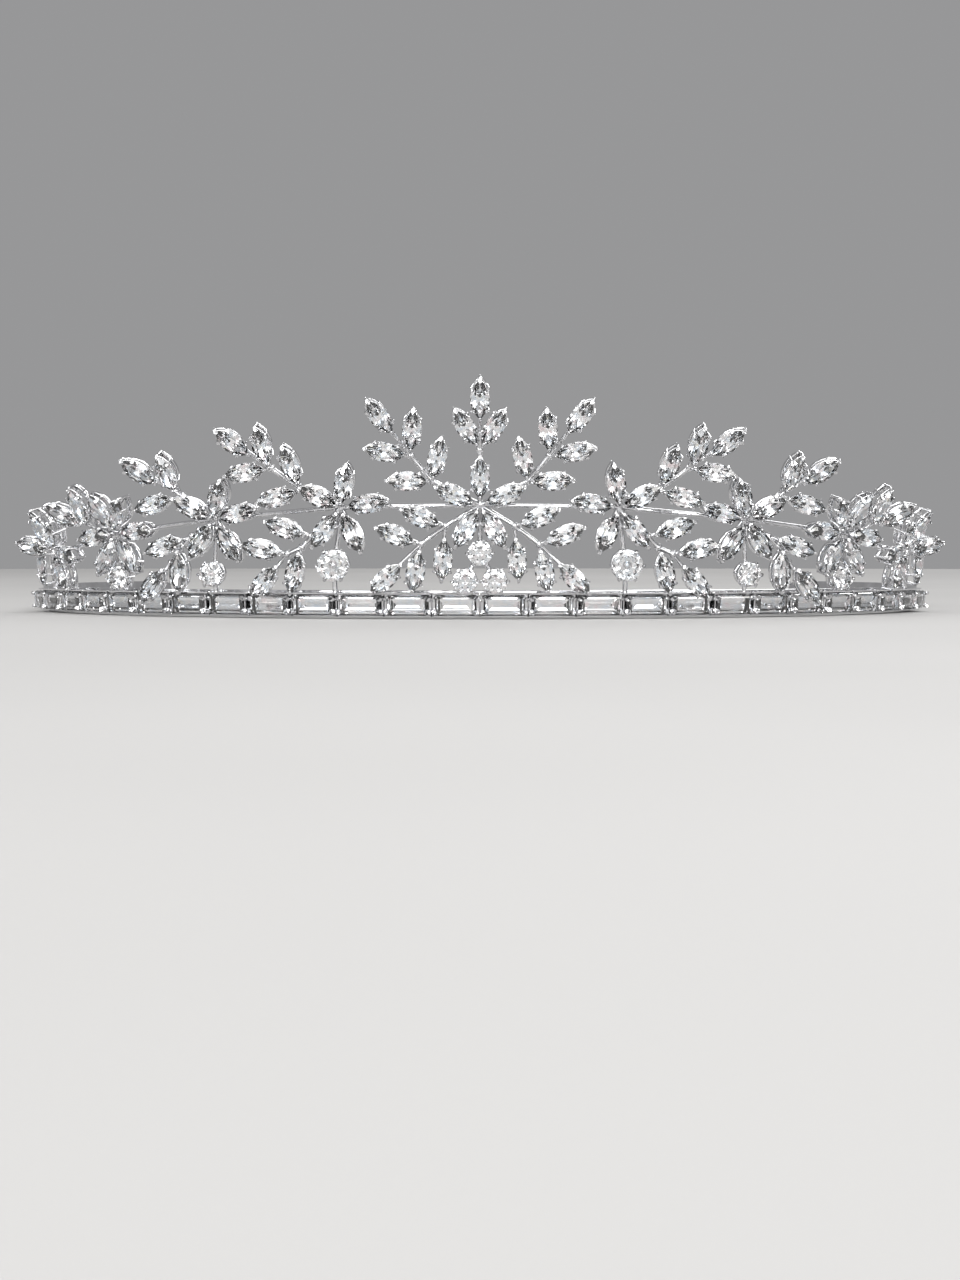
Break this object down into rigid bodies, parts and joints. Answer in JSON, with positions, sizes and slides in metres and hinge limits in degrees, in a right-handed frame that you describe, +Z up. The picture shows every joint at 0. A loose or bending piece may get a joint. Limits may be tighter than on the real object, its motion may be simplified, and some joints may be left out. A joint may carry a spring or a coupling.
{
  "type": "bridal diadem",
  "caption": "Open silver-coloured headband with a rail of baguette stones and a crest of marquise and round stones, worn on the head at a wedding.",
  "frame": {"origin": "in the plane of symmetry, on the widest line between the two sides, in the plane of the band's lower edge", "axes": "+Z up from the band's lower edge to the crest, -Y towards the front, +X towards the right of a viewer who faces the front"},
  "size_m": [0.1522, 0.1215, 0.0357],
  "materials": {
    "silver": "polished, rhodium plated",
    "marquise_stone": "cut and polished",
    "round_stone": "cut and polished",
    "baguette_stone": "step cut and polished"
  },
  "bodies": {
    "root": {"frame": "silver", "marquises_middle": "marquise_stone", "marquises_left_1": "marquise_stone", "marquises_left_2": "marquise_stone", "marquises_left_3": "marquise_stone", "marquises_left_4": "marquise_stone", "marquises_left_5": "marquise_stone", "marquises_right_1": "marquise_stone", "marquises_right_2": "marquise_stone", "marquises_right_3": "marquise_stone", "marquises_right_4": "marquise_stone", "marquises_right_5": "marquise_stone", "round_middle_1": "round_stone", "round_middle_2": "round_stone", "round_middle_3": "round_stone", "round_left_1": "round_stone", "round_left_2": "round_stone", "round_left_3": "round_stone", "round_right_1": "round_stone", "round_right_2": "round_stone", "round_right_3": "round_stone", "baguette_1": "baguette_stone", "baguette_2": "baguette_stone", "baguette_3": "baguette_stone", "baguette_4": "baguette_stone", "baguette_5": "baguette_stone", "baguette_6": "baguette_stone", "baguette_7": "baguette_stone", "baguette_8": "baguette_stone", "baguette_9": "baguette_stone", "baguette_10": "baguette_stone", "baguette_11": "baguette_stone", "baguette_12": "baguette_stone", "baguette_13": "baguette_stone", "baguette_14": "baguette_stone", "baguette_15": "baguette_stone", "baguette_16": "baguette_stone", "baguette_17": "baguette_stone", "baguette_18": "baguette_stone", "baguette_19": "baguette_stone", "baguette_20": "baguette_stone", "baguette_21": "baguette_stone", "baguette_22": "baguette_stone", "baguette_23": "baguette_stone", "baguette_24": "baguette_stone", "baguette_25": "baguette_stone", "baguette_26": "baguette_stone"}
  },
  "joints": []
}
